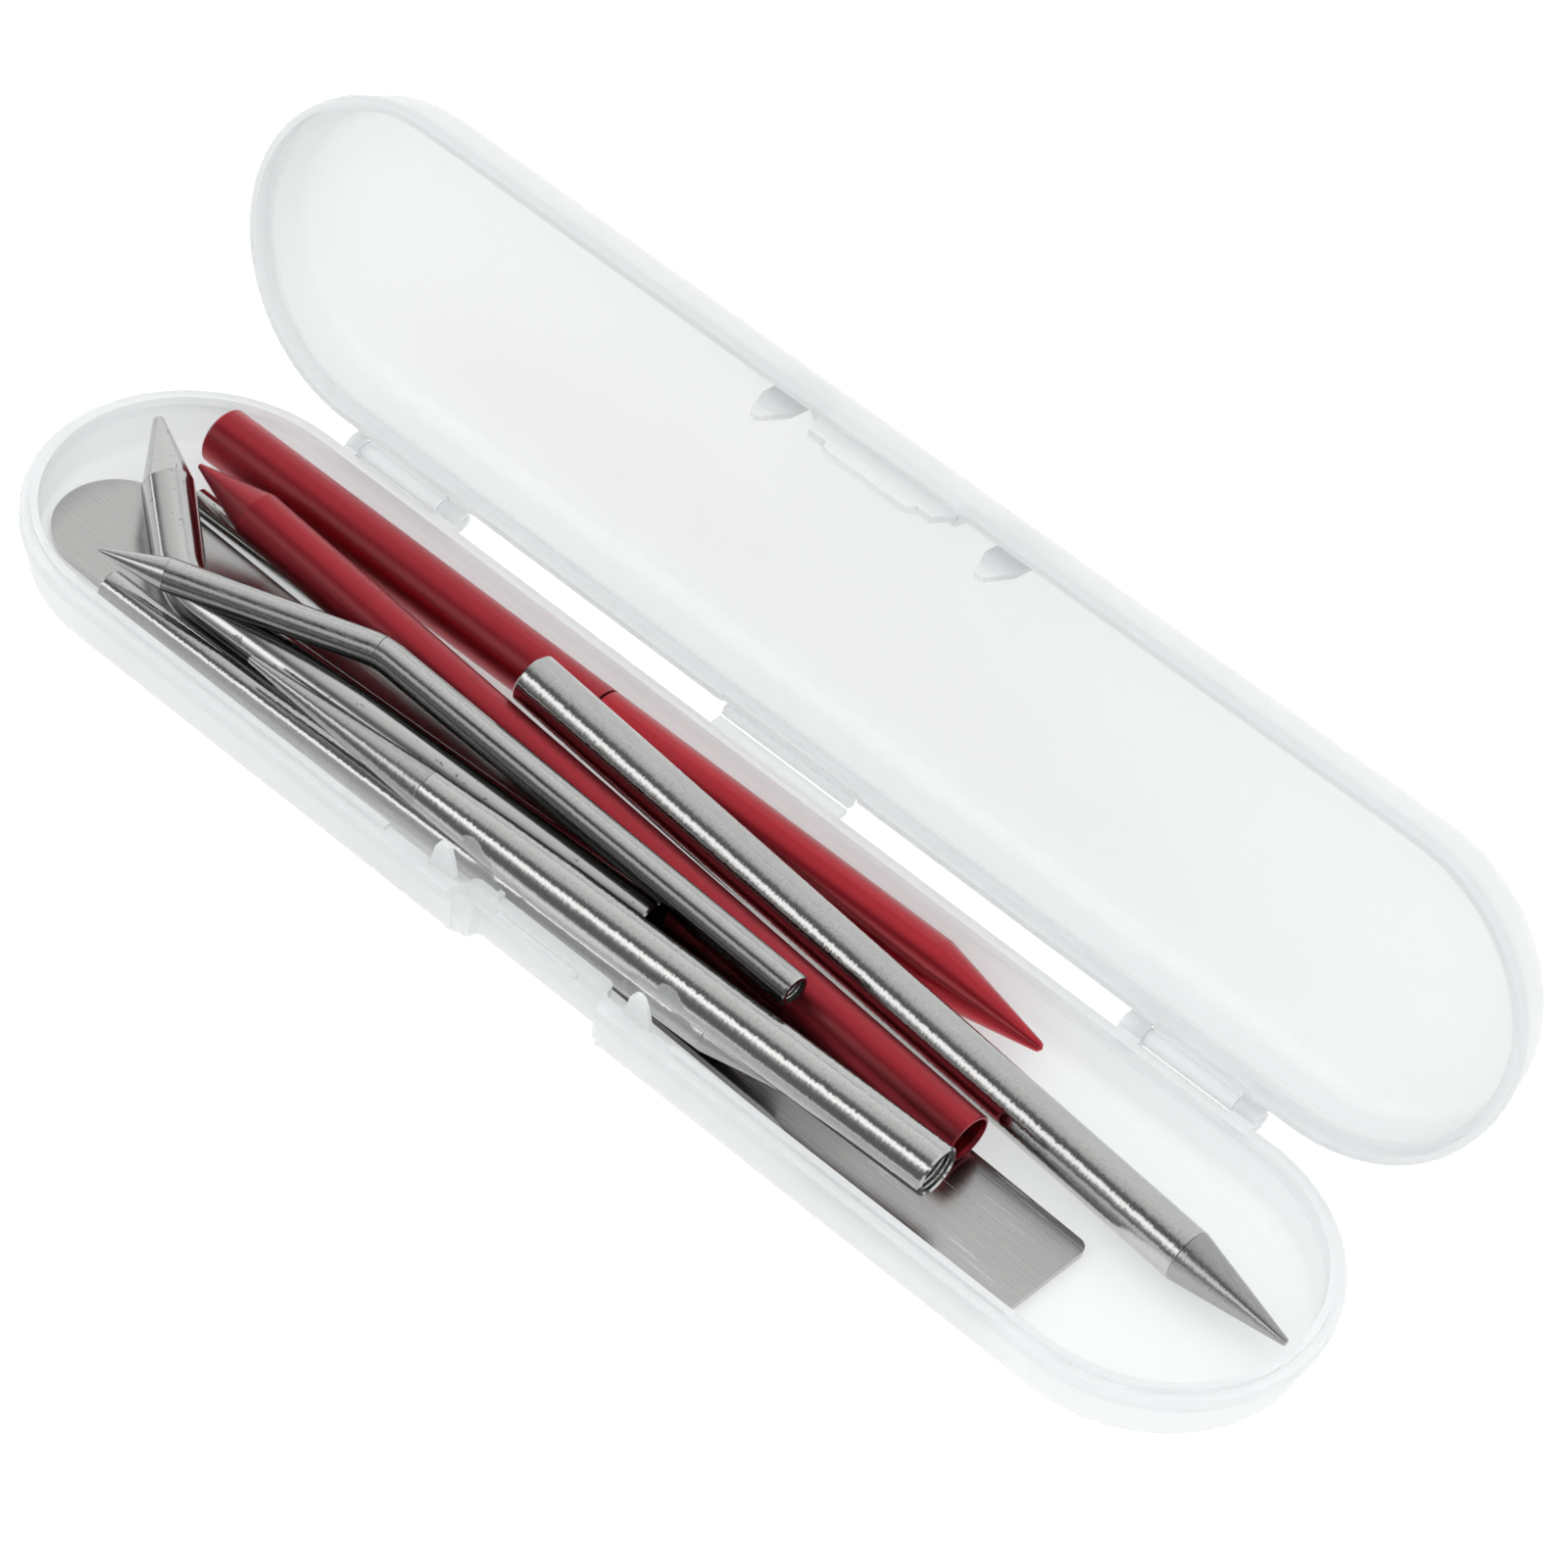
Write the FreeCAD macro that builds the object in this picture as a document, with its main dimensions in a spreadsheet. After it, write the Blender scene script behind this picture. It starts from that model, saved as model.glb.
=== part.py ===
import FreeCAD, Part
import math
import os
import Sketcher

# Cord-lacing tool set: a hinged stadium-shaped polypropylene case that holds
# straight and bent fids (hollow lacing needles), a slim polished needle and a
# flat smoothing blade.
# Frame: X along the case, Y towards the hinge, Z up, origin at the middle of
# the case's underside. All lengths in millimetres.

V = FreeCAD.Vector
os.makedirs("parts", exist_ok=True)
doc = FreeCAD.newDocument("fid_case")

# ---------------------------------------------------------------- dimensions
sheet = doc.addObject("Spreadsheet::Sheet", "dims")
DIM = [
    ("end_centre", 79.85), ("rim_half", 23.15), ("rim_top", 8.9),
    ("base_low_half", 21.6), ("base_flange_low", 6.9), ("base_up_half", 22.4),
    ("cavity_half", 20.9), ("floor_top", 1.4), ("lip_half", 21.9),
    ("lip_top", 9.6), ("floor_round", 1.7), ("under_round", 1.6),
    ("lid_rim", 9.05), ("lid_flange_top", 10.9), ("lid_body_half", 22.6),
    ("lid_top", 19.05), ("lid_cavity_half", 21.2), ("lid_cavity_top", 17.65),
    ("lid_step_half", 22.1), ("lid_step_top", 11.1), ("lid_round", 3.6),
    ("lid_inner_round", 2.4),
    ("pivot_y", 24.8), ("pivot_z", 8.7), ("pin_rad", 0.7), ("pin_hole_rad", 0.78),
    ("ear_rad", 1.3), ("barrel_rad", 1.15), ("open_angle", 100.4),
    ("blade_thick", 1.0), ("blade_half", 9.0), ("waist_half", 6.0),
    ("split_rad", 4.0), ("tube_rad", 3.5), ("long_rad", 3.6), ("taper_rad", 3.5),
    ("thick_rad", 3.5), ("slim_rad", 2.25), ("needle_rad", 1.7),
    ("big_bore_rad", 2.9), ("slim_bore_rad", 1.55), ("tube_bore_rad", 3.0),
    ("needle_bore_rad", 1.0),
]
D = {}
for row, (alias, val) in enumerate(DIM, 1):
    sheet.set("A%d" % row, alias)
    sheet.set("B%d" % row, str(val))
    sheet.setAlias("B%d" % row, alias)
    D[alias] = val
doc.recompute()


# ------------------------------------------------------------------- helpers
def new_body(name):
    b = doc.addObject("PartDesign::Body", name)
    b.Label = name
    return b


def plane(body, role):
    for f in body.Origin.OriginFeatures:
        if f.Role == role:
            return f


def new_sketch(body, name, role="XY_Plane", off=0.0, place=None):
    s = body.newObject("Sketcher::SketchObject", name)
    s.AttachmentSupport = [(plane(body, role), "")]
    s.MapMode = "FlatFace"
    s.AttachmentOffset = place or FreeCAD.Placement(V(0, 0, off), FreeCAD.Rotation())
    return s


def stadium(s, alias):
    c, w = D["end_centre"], D[alias]
    s.addGeometry(Part.LineSegment(V(-c, w, 0), V(c, w, 0)))
    s.addGeometry(Part.ArcOfCircle(Part.Circle(V(c, 0, 0), V(0, 0, 1), w), -math.pi / 2, math.pi / 2))
    s.addGeometry(Part.LineSegment(V(c, -w, 0), V(-c, -w, 0)))
    s.addGeometry(Part.ArcOfCircle(Part.Circle(V(-c, 0, 0), V(0, 0, 1), w), math.pi / 2, 3 * math.pi / 2))
    C = Sketcher.Constraint
    s.addConstraint([
        C("Tangent", 0, 2, 1, 2), C("Tangent", 1, 1, 2, 1),
        C("Tangent", 2, 2, 3, 2), C("Tangent", 3, 1, 0, 1),
        C("Horizontal", 0), C("PointOnObject", 1, 3, -1), C("PointOnObject", 3, 3, -1)])
    i = s.addConstraint(C("DistanceX", -1, 1, 1, 3, c))
    s.setExpression("Constraints[%d]" % i, "dims.end_centre")
    i = s.addConstraint(C("DistanceX", 3, 3, -1, 1, c))
    s.setExpression("Constraints[%d]" % i, "dims.end_centre")
    i = s.addConstraint(C("Radius", 1, w))
    s.setExpression("Constraints[%d]" % i, "dims." + alias)


def poly(s, pts, expr=None):
    """Closed outline through pts; each corner's place is a constraint."""
    n = len(pts)
    C = Sketcher.Constraint
    for i in range(n):
        a, b = pts[i], pts[(i + 1) % n]
        s.addGeometry(Part.LineSegment(V(a[0], a[1], 0), V(b[0], b[1], 0)))
    for i in range(n):
        s.addConstraint(C("Coincident", i, 2, (i + 1) % n, 1))
    for i in range(n):
        for k, kind in ((0, "DistanceX"), (1, "DistanceY")):
            j = s.addConstraint(C(kind, -1, 1, i, 1, float(pts[i][k])))
            if expr and (i, k) in expr:
                s.setExpression("Constraints[%d]" % j, expr[(i, k)])


def fixed(s, geos):
    """Outline of lines and arcs held where they are drawn."""
    for g in geos:
        i = s.addGeometry(g)
        s.addConstraint(Sketcher.Constraint("Block", i))


def circle(s, x, y, alias, pos=None):
    C = Sketcher.Constraint
    i = s.addGeometry(Part.Circle(V(x, y, 0), V(0, 0, 1), D[alias]))
    j = s.addConstraint(C("Radius", i, D[alias]))
    s.setExpression("Constraints[%d]" % j, "dims." + alias)
    if pos:
        for kind, a in (("DistanceX", pos[0]), ("DistanceY", pos[1])):
            j = s.addConstraint(C(kind, -1, 1, i, 3, D[a]))
            s.setExpression("Constraints[%d]" % j, "dims." + a)
    elif x == 0 and y == 0:
        s.addConstraint(C("Coincident", i, 3, -1, 1))
    else:
        s.addConstraint(C("DistanceX", -1, 1, i, 3, x))
        s.addConstraint(C("DistanceY", -1, 1, i, 3, y))


def pad(body, s, length, name, taper=0.0, rev=False, grow=None, expr=None):
    before = body.Tip.Shape.Volume if body.Tip and body.Tip.isDerivedFrom("PartDesign::Feature") and not body.Tip.Shape.isNull() else 0.0
    f = body.newObject("PartDesign::Pad", name)
    f.Profile = s
    f.Length = length
    if expr:
        f.setExpression("Length", expr)
    f.Reversed = rev
    if taper:
        f.TaperAngle = taper
    body.Tip = f
    s.Visibility = False
    doc.recompute()
    if f.Shape.Volume <= before:
        print("PAD adds nothing:", name, before, f.Shape.Volume)
    return f


def pocket(body, s, length, name, taper=0.0, rev=False, expr=None):
    before = body.Tip.Shape.Volume
    f = body.newObject("PartDesign::Pocket", name)
    f.Profile = s
    f.Length = length
    if expr:
        f.setExpression("Length", expr)
    f.Reversed = rev
    if taper:
        f.TaperAngle = taper
    body.Tip = f
    s.Visibility = False
    doc.recompute()
    if f.Shape.Volume >= before - 1e-6:
        print("POCKET removes nothing:", name, before, f.Shape.Volume)
    return f


def edges_at(shape, z, tol=0.02, cond=None):
    out = []
    for i, e in enumerate(shape.Edges, 1):
        bb = e.BoundBox
        if abs(bb.ZMin - z) < tol and abs(bb.ZMax - z) < tol and (cond is None or cond(e)):
            out.append("Edge%d" % i)
    return out


def fillet(body, names, r, name, alias=None):
    base = body.Tip
    f = body.newObject("PartDesign::Fillet", name)
    f.Base = (base, names)
    f.Radius = r
    if alias:
        f.setExpression("Radius", "dims." + alias)
    body.Tip = f
    doc.recompute()
    return f


def box_pad(body, name, x0, x1, y0, y1, z0, z1):
    s = new_sketch(body, name + "_sk", "XY_Plane", z0)
    poly(s, [(x0, y0), (x1, y0), (x1, y1), (x0, y1)])
    return pad(body, s, z1 - z0, name)


def box_cut(body, name, x0, x1, y0, y1, z0, z1):
    s = new_sketch(body, name + "_sk", "XY_Plane", z1)
    poly(s, [(x0, y0), (x1, y0), (x1, y1), (x0, y1)])
    return pocket(body, s, z1 - z0, name)


def plate_pad(body, name, pts, y_near, thick):
    """Plate in the XZ plane from y_near to y_near - thick."""
    s = new_sketch(body, name + "_sk", "XZ_Plane", -y_near)
    poly(s, pts)
    f = pad(body, s, thick, name)
    return f


# ----------------------------------------------------------------- case base
base = new_body("case_base")
s = new_sketch(base, "base_outline")
stadium(s, "base_low_half")
draft = math.degrees(math.atan((D["base_up_half"] - D["base_low_half"]) / D["base_flange_low"]))
pad(base, s, D["base_flange_low"], "base_block", taper=draft, expr="dims.base_flange_low")
fillet(base, edges_at(base.Tip.Shape, 0.0), D["under_round"], "base_under_edge", "under_round")
s = new_sketch(base, "flange_outline", off=D["base_flange_low"])
stadium(s, "rim_half")
pad(base, s, D["rim_top"] - D["base_flange_low"], "base_flange", expr="dims.rim_top - dims.base_flange_low")
fillet(base, edges_at(base.Tip.Shape, D["rim_top"], cond=lambda e: max(abs(e.BoundBox.YMin), abs(e.BoundBox.YMax)) > 23.0),
       0.4, "base_flange_edge")
s = new_sketch(base, "lip_outline", off=D["rim_top"] - 0.2)
stadium(s, "lip_half")
pad(base, s, D["lip_top"] - D["rim_top"] + 0.2, "base_lip", expr="dims.lip_top - dims.rim_top + 0.2")
s = new_sketch(base, "cavity_outline", off=D["lip_top"])
stadium(s, "cavity_half")
pocket(base, s, D["lip_top"] - D["floor_top"], "base_cavity", taper=-3.0, expr="dims.lip_top - dims.floor_top")
zf = D["floor_top"]
fillet(base, edges_at(base.Tip.Shape, zf), D["floor_round"], "base_floor_round", "floor_round")

# the lip stops short of the clasp
box_cut(base, "base_lip_gap", -25.7, 21.6, -23.6, -20.0, D["rim_top"], D["lip_top"] + 1.0)


def arc3(a, b, c):
    return Part.Arc(V(a[0], a[1], 0), V(b[0], b[1], 0), V(c[0], c[1], 0))


def seg(a, b):
    return Part.LineSegment(V(a[0], a[1], 0), V(b[0], b[1], 0))


q = math.sqrt(0.5)
# inward step of the front wall behind the clasp
r1 = 1.15
yi, yo = -20.9, -18.6
x0, x1 = -14.2, 11.4
s = new_sketch(base, "step_outline", off=D["floor_top"] - 0.4)
fixed(s, [
    seg((x0, yi - 1.0), (x0, yi)),
    arc3((x0, yi), (x0 + r1 * q, yi + r1 * (1 - q)), (x0 + r1, yi + r1)),
    arc3((x0 + r1, yi + r1), (x0 + r1 + r1 * (1 - q), yi + r1 + r1 * q), (x0 + 2 * r1, yo)),
    seg((x0 + 2 * r1, yo), (x1 - 2 * r1, yo)),
    arc3((x1 - 2 * r1, yo), (x1 - r1 - r1 * (1 - q), yi + r1 + r1 * q), (x1 - r1, yi + r1)),
    arc3((x1 - r1, yi + r1), (x1 - r1 * q, yi + r1 * (1 - q)), (x1, yi)),
    seg((x1, yi), (x1, yi - 1.0)),
    seg((x1, yi - 1.0), (x0, yi - 1.0)),
])
pad(base, s, D["rim_top"] - D["floor_top"] + 0.4, "clasp_step", expr="dims.rim_top - dims.floor_top + 0.4")
# below the top band the step stands further in
box_pad(base, "clasp_step_low", x0 + 3.0, x1 - 3.0, -20.0, -17.5, D["floor_top"] - 0.4, 7.4)
# clasp recess cut from the outside
r2 = 1.2
xa, xb, yc = -13.5, 10.9, -20.5
s = new_sketch(base, "recess_outline", off=D["rim_top"] + 1.0)
fixed(s, [
    seg((xa - 1.2, -25.0), (xa - 1.2, -23.9)),
    arc3((xa - 1.2, -23.9), (xa - 0.35, -23.2), (xa, -22.2)),
    seg((xa, -22.2), (xa, yc - r2)),
    arc3((xa, yc - r2), (xa + r2 * (1 - q), yc - r2 + r2 * q), (xa + r2, yc)),
    seg((xa + r2, yc), (xb - r2, yc)),
    arc3((xb - r2, yc), (xb - r2 * (1 - q), yc - r2 + r2 * q), (xb, yc - r2)),
    seg((xb, yc - r2), (xb, -22.2)),
    arc3((xb, -22.2), (xb + 0.35, -23.2), (xb + 1.2, -23.9)),
    seg((xb + 1.2, -23.9), (xb + 1.2, -25.0)),
    seg((xb + 1.2, -25.0), (xa - 1.2, -25.0)),
])
pocket(base, s, D["rim_top"] + 3.0, "clasp_recess")
s = new_sketch(base, "recess_low_outline", off=6.4)
xc, xd, yd = xa + 1.9, xb - 1.9, -18.7
fixed(s, [
    seg((xc - 0.9, -22.0), (xc - 0.9, yc - 0.4)),
    arc3((xc - 0.9, yc - 0.4), (xc - 0.2, yc + 0.2), (xc, yc + 0.9)),
    arc3((xc, yc + 0.9), (xc + 0.9 * (1 - q), yd - 0.9 * (1 - q)), (xc + 0.9, yd)),
    seg((xc + 0.9, yd), (xd - 0.9, yd)),
    arc3((xd - 0.9, yd), (xd - 0.9 * (1 - q), yd - 0.9 * (1 - q)), (xd, yc + 0.9)),
    arc3((xd, yc + 0.9), (xd + 0.2, yc + 0.2), (xd + 0.9, yc - 0.4)),
    seg((xd + 0.9, yc - 0.4), (xd + 0.9, -22.0)),
    seg((xd + 0.9, -22.0), (xc - 0.9, -22.0)),
])
pocket(base, s, 8.0, "recess_low")
# bead on the recessed wall, under which the lid's tab sits
s = new_sketch(base, "bead_outline", "XZ_Plane", 20.3)
fixed(s, [
    seg((-7.2, 8.35), (5.2, 8.35)), arc3((5.2, 8.35), (5.75, 7.8), (5.2, 7.25)),
    seg((5.2, 7.25), (-7.2, 7.25)), arc3((-7.2, 7.25), (-7.75, 7.8), (-7.2, 8.35)),
])
pad(base, s, 0.6, "clasp_bead")
# small moulding nub at one end of the step
box_pad(base, "step_nub", -9.3, -8.5, -19.6, -18.35, 7.6, 9.35)
# pointed guide fins
FIN = [(-2.0, 8.0), (-1.95, 9.4), (-1.5, 12.3), (-1.15, 13.05), (-0.65, 13.45), (0.0, 13.55), (0.5, 13.25), (0.95, 12.5), (1.5, 11.3), (2.1, 9.5), (2.2, 8.0)]
for nm, cx in (("guide_fin_left", -16.4), ("guide_fin_right", 15.9)):
    plate_pad(base, nm, [(cx + a, b) for a, b in FIN], -20.7, 0.7)

# hinge ears on the back of the base
EARS = [(-77.0, -74.9), (-60.6, -57.0), (55.1, 58.6), (73.1, 76.6)]
for i, (a, b) in enumerate(EARS):
    box_pad(base, "ear_web_%d" % i, a, b, 22.4, D["pivot_y"], 7.4, D["rim_top"])
    s = new_sketch(base, "ear_round_%d_sk" % i, "YZ_Plane", a)
    circle(s, D["pivot_y"], D["pivot_z"], "ear_rad", ("pivot_y", "pivot_z"))
    pad(base, s, b - a, "ear_round_%d" % i)
for i, (a, b) in enumerate(((-80.0, -56.0), (54.0, 78.0))):
    s = new_sketch(base, "pin_hole_%d_sk" % i, "YZ_Plane", b)
    circle(s, D["pivot_y"], D["pivot_z"], "pin_hole_rad", ("pivot_y", "pivot_z"))
    pocket(base, s, b - a, "pin_hole_%d" % i)
# shelf under the left barrel and the ledge at the middle of the back
box_pad(base, "left_shelf", -74.9, -60.6, 22.4, 24.4, 6.95, 7.3)
box_pad(base, "middle_ledge", -12.0, 9.5, 22.4, 24.95, 7.9, 8.7)

# ------------------------------------------------------------------ case lid
# drawn shut, then turned open about the hinge pins by its Placement
lid = new_body("case_lid")
s = new_sketch(lid, "lid_flange_outline", off=D["lid_rim"])
stadium(s, "rim_half")
pad(lid, s, D["lid_flange_top"] - D["lid_rim"], "lid_flange", expr="dims.lid_flange_top - dims.lid_rim")
s = new_sketch(lid, "lid_body_outline", off=D["lid_flange_top"] - 0.1)
stadium(s, "lid_body_half")
pad(lid, s, D["lid_top"] - D["lid_flange_top"] + 0.1, "lid_block", taper=-9.0,
    expr="dims.lid_top - dims.lid_flange_top + 0.1")
fillet(lid, edges_at(lid.Tip.Shape, D["lid_top"]), D["lid_round"], "lid_top_edge", "lid_round")
fillet(lid, edges_at(lid.Tip.Shape, D["lid_rim"], cond=lambda e: max(abs(e.BoundBox.YMin), abs(e.BoundBox.YMax)) > 23.0),
       0.3, "lid_flange_edge")
s = new_sketch(lid, "lid_cavity_outline", off=D["lid_rim"])
stadium(s, "lid_cavity_half")
pocket(lid, s, D["lid_cavity_top"] - D["lid_rim"], "lid_cavity", taper=-6.0, rev=True,
       expr="dims.lid_cavity_top - dims.lid_rim")
fillet(lid, edges_at(lid.Tip.Shape, D["lid_cavity_top"]), D["lid_inner_round"], "lid_inner_edge", "lid_inner_round")
s = new_sketch(lid, "lid_step_outline", off=D["lid_rim"])
stadium(s, "lid_step_half")
pocket(lid, s, D["lid_step_top"] - D["lid_rim"], "lid_step", rev=True, expr="dims.lid_step_top - dims.lid_rim")
# rim lowered at the middle ledge
box_cut(lid, "rim_dip", -12.8, 10.3, 21.9, 23.4, D["lid_rim"] - 0.5, D["lid_rim"] + 0.6)
# pockets for the base's fins, then the lid's own fins
box_cut(lid, "fin_pocket_left", -20.3, -13.9, -21.6, -20.0, D["lid_rim"] - 0.5, 13.9)
box_cut(lid, "fin_pocket_right", 12.4, 22.0, -21.6, -20.0, D["lid_rim"] - 0.5, 13.9)
LFIN = [(-3.7, 15.6), (-3.7, 9.1), (-2.35, 5.6), (-2.0, 4.85), (-1.5, 4.4), (-0.9, 4.3), (-0.45, 4.7), (-0.1, 5.5), (1.3, 9.1), (1.3, 15.6)]
for nm, cx in (("lid_fin_left", -17.3), ("lid_fin_right", 18.8)):
    plate_pad(lid, nm, [(cx + a, b) for a, b in LFIN], -19.5, 0.8)
    box_pad(lid, nm + "_root", cx - 3.7, cx + 1.3, -21.5, -19.5, 14.3, 15.6)
# clasp tab
plate_pad(lid, "clasp_tab", [(-12.5, 12.0), (-12.5, 9.05), (-11.3, 5.75), (-8.5, 5.75), (-8.0, 4.6), (-7.4, 4.4),
                             (5.2, 4.4), (5.7, 4.8), (6.1, 5.75), (8.4, 5.75), (9.9, 9.05), (9.9, 12.0)], -21.2, 1.1)
# thicker wall inside, behind the tab
s = new_sketch(lid, "tab_backing_sk", "XY_Plane", 9.5)
poly(s, [(-14.0, -21.9), (-12.6, -20.2), (9.9, -20.2), (11.3, -21.9)])
pad(lid, s, 6.4, "tab_backing", taper=-3.0)
# hinge barrels with end pins, and the webs that carry them
BARREL = [(-74.7, -60.8), (58.8, 72.9)]
for i, (a, b) in enumerate(BARREL):
    box_pad(lid, "barrel_web_%d" % i, a, b, 22.4, D["pivot_y"], 9.1, 9.85)
    s = new_sketch(lid, "barrel_%d_sk" % i, "YZ_Plane", a)
    circle(s, D["pivot_y"], D["pivot_z"], "barrel_rad", ("pivot_y", "pivot_z"))
    pad(lid, s, b - a, "barrel_%d" % i)
    s = new_sketch(lid, "pin_%d_sk" % i, "YZ_Plane", a - 1.9)
    circle(s, D["pivot_y"], D["pivot_z"], "pin_rad", ("pivot_y", "pivot_z"))
    pad(lid, s, b - a + 4.5, "hinge_pin_%d" % i)
for i, (a, b) in enumerate(EARS):
    box_pad(lid, "strap_block_%d" % i, a + 0.1, b - 0.1, 22.4, 23.9, 9.95, 10.9)
    box_pad(lid, "strap_foot_%d" % i, a + 0.1, b - 0.1, 22.4, 23.44, 9.1, 10.2)
box_pad(lid, "middle_strap", -12.0, 9.5, 22.3, 24.65, 9.75, 10.1)
box_pad(lid, "middle_strap_lip", -12.0, 9.5, 23.3, 24.65, 9.1, 9.9)
piv = V(0, D["pivot_y"], D["pivot_z"])
lid.Placement = FreeCAD.Placement(V(0, 0, 0), FreeCAD.Rotation(V(1, 0, 0), -D["open_angle"]), piv)

# ----------------------------------------------------------- smoothing blade
blade = new_body("smoothing_blade")
s = new_sketch(blade, "blade_outline")
b, w = D["blade_half"], D["waist_half"]
fixed(s, [
    arc3((-76.0, -b), (-76.0 - b, 0), (-76.0, b)),
    seg((-76.0, b), (83.5, b)), arc3((83.5, b), (83.5 + 1.5 * q, b - 1.5 + 1.5 * q), (85.0, b - 1.5)),
    seg((85.0, b - 1.5), (85.0, -b + 1)), arc3((85.0, -b + 1), (84.0 + q, -b + 1 - q), (84.0, -b)),
    seg((84.0, -b), (57.0, -b)),
    arc3((57.0, -b), (54.1, -b + 0.45), (51.5, -b + 1.5)), arc3((51.5, -b + 1.5), (48.9, -w - 0.45), (46.0, -w)),
    seg((46.0, -w), (-35.0, -w)),
    arc3((-35.0, -w), (-37.9, -w - 0.45), (-40.5, -b + 1.5)), arc3((-40.5, -b + 1.5), (-43.1, -b + 0.45), (-46.0, -b)),
    seg((-46.0, -b), (-76.0, -b)),
])
pad(blade, s, D["blade_thick"], "blade_plate", expr="dims.blade_thick")
blade.Placement = FreeCAD.Placement(V(-12.8, -7.55, 1.65), FreeCAD.Rotation(V(0, 0, 1), -1.86))


# ------------------------------------------------------------- turned pieces
def turned(name, prof, expr=None):
    """Turned piece: profile (x along, y radius) spun about its own X axis."""
    bd = new_body(name)
    s = new_sketch(bd, name + "_profile", "XZ_Plane")
    poly(s, prof, expr)
    f = bd.newObject("PartDesign::Revolution", name + "_turned")
    f.Profile = s
    f.ReferenceAxis = (s, ["H_Axis"])
    f.Angle = 360.0
    bd.Tip = f
    s.Visibility = False
    doc.recompute()
    return bd


def aim(bd, a, b, slide=0.0):
    """Lay a turned piece along the line from a to b, moved along it by slide."""
    a, b = V(*a), V(*b)
    d = (b - a).normalize()
    bd.Placement = FreeCAD.Placement(a + d * slide, FreeCAD.Rotation(V(1, 0, 0), d))


def dims_of(prof, marks):
    """Bind marked corners' radii to a dimension."""
    return {(i, 1): "dims." + a for i, a in marks.items()}


# rest positions: open or flat end, then (for a bent piece) the bend, then the tip
POS = {
    "A": ((-89.57, 13.27, 7.61), (50.05, 15.85, 5.55)),
    "B": ((53.6, -2.76, 6.45), (-85.2, 4.5, 10.69)),
    "C": ((-29.96, 8.61, 12.14), (98.24, 3.52, 4.65)),
    "D": ((56.44, -12.84, 10.92), (-55.22, -15.97, 11.99)),
    "E": ((5.99, -7.58, 7.80), (-72.64, -10.04, 6.45), (-96.76, 8.78, 8.02)),
    "F": ((27.73, -6.7, 13.8), (-44.9, -3.12, 12.77), (-80.76, -17.63, 12.6)),
    "G": ((-79.78, -16.29, 6.19), (32.85, -12.99, 5.12)),
    "J": ((-85.8, 5.57, 3.45), (9.2, 5.2, 3.45)),
}


def length(k):
    p = [V(*q) for q in POS[k]]
    return sum((p[i + 1] - p[i]).Length for i in range(len(p) - 1))


# two-piece anodised fid: rear sleeve and front body screwed together
LA = length("A")
cut = 66.5
R = D["split_rad"]
rear = turned("split_fid_rear", [(0, 2.9), (0.0, R - 0.4), (0.4, R), (cut, R), (cut, 2.0), (cut - 12.5, 2.0), (cut - 14.0, 0.0), (14.0, 0.0), (12.5, 2.9)],
              {(0, 1): "dims.big_bore_rad", (8, 1): "dims.big_bore_rad", (2, 1): "dims.split_rad", (3, 1): "dims.split_rad"})
front = turned("split_fid_front", [(cut - 12.0, 0.0), (cut - 12.0, 1.6), (cut - 11.7, 1.95), (cut + 0.25, 1.95), (cut + 0.25, R - 0.15), (cut + 0.4, R),
                                   (LA - 17.5, R), (LA - 0.75, 0.75), (LA - 0.35, 0.6), (LA, 0.0)],
               {(5, 1): "dims.split_rad", (6, 1): "dims.split_rad"})
for bd in (rear, front):
    aim(bd, POS["A"][0], POS["A"][1])

# one-piece anodised tube fid
LB = length("B")
R = D["tube_rad"]
tube = turned("tube_fid", [(0, 3.1), (0, R - 0.15), (0.15, R), (LB - 11.5, R), (LB - 0.3, 0.35), (LB, 0.0), (LB - 24.0, 0.0), (LB - 30.0, 3.0), (0.6, 3.0), (0.1, 3.1)],
              {(2, 1): "dims.tube_rad", (3, 1): "dims.tube_rad", (7, 1): "dims.tube_bore_rad", (8, 1): "dims.tube_bore_rad"})
aim(tube, POS["B"][0], POS["B"][1])


def straight_fid(stem, k, alias, bore_alias, bore_len, seam, tip, shank_r, shoulder=None, tip_r=0.4):
    """Body with a bored end, and a point pressed into its front."""
    L, R, b = length(k), D[alias], D[bore_alias]
    s0 = L - seam
    rs = shoulder if shoulder else R
    prof = [(0, b + 0.25), (0.0, R - 0.3), (0.3, R)]
    ex = {(2, 1): "dims." + alias}
    if shoulder:
        prof += [(s0 - 22.0, R), (s0 - 11.0, R - 0.35 * (R - rs)), (s0, rs)]
        ex[(3, 1)] = "dims." + alias
    else:
        prof += [(s0, R)]
        ex[(3, 1)] = "dims." + alias
    prof[-1] = (s0 - 0.09, rs)
    prof += [(s0, rs - 0.09), (s0, shank_r), (s0 - 8.0, shank_r), (s0 - 9.0, 0.0), (bore_len + 1.2, 0.0), (bore_len, b), (0.25, b)]
    n = len(prof)
    ex[(n - 2, 1)] = "dims." + bore_alias
    ex[(n - 1, 1)] = "dims." + bore_alias
    bd = turned(stem + "_body", prof, ex)
    pt = [(s0 - 7.6, 0.0), (s0 - 7.6, shank_r - 0.3), (s0 - 7.3, shank_r), (s0, shank_r), (s0, rs - 0.09), (s0 + 0.09, rs)]
    if tip < seam:
        pt += [(L - tip, R)]
    pt += [(L - 0.15, tip_r), (L, tip_r - 0.15), (L, 0.0)]
    pd = turned(stem + "_point", pt)
    for o in (bd, pd):
        aim(o, POS[k][0], POS[k][1])


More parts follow.
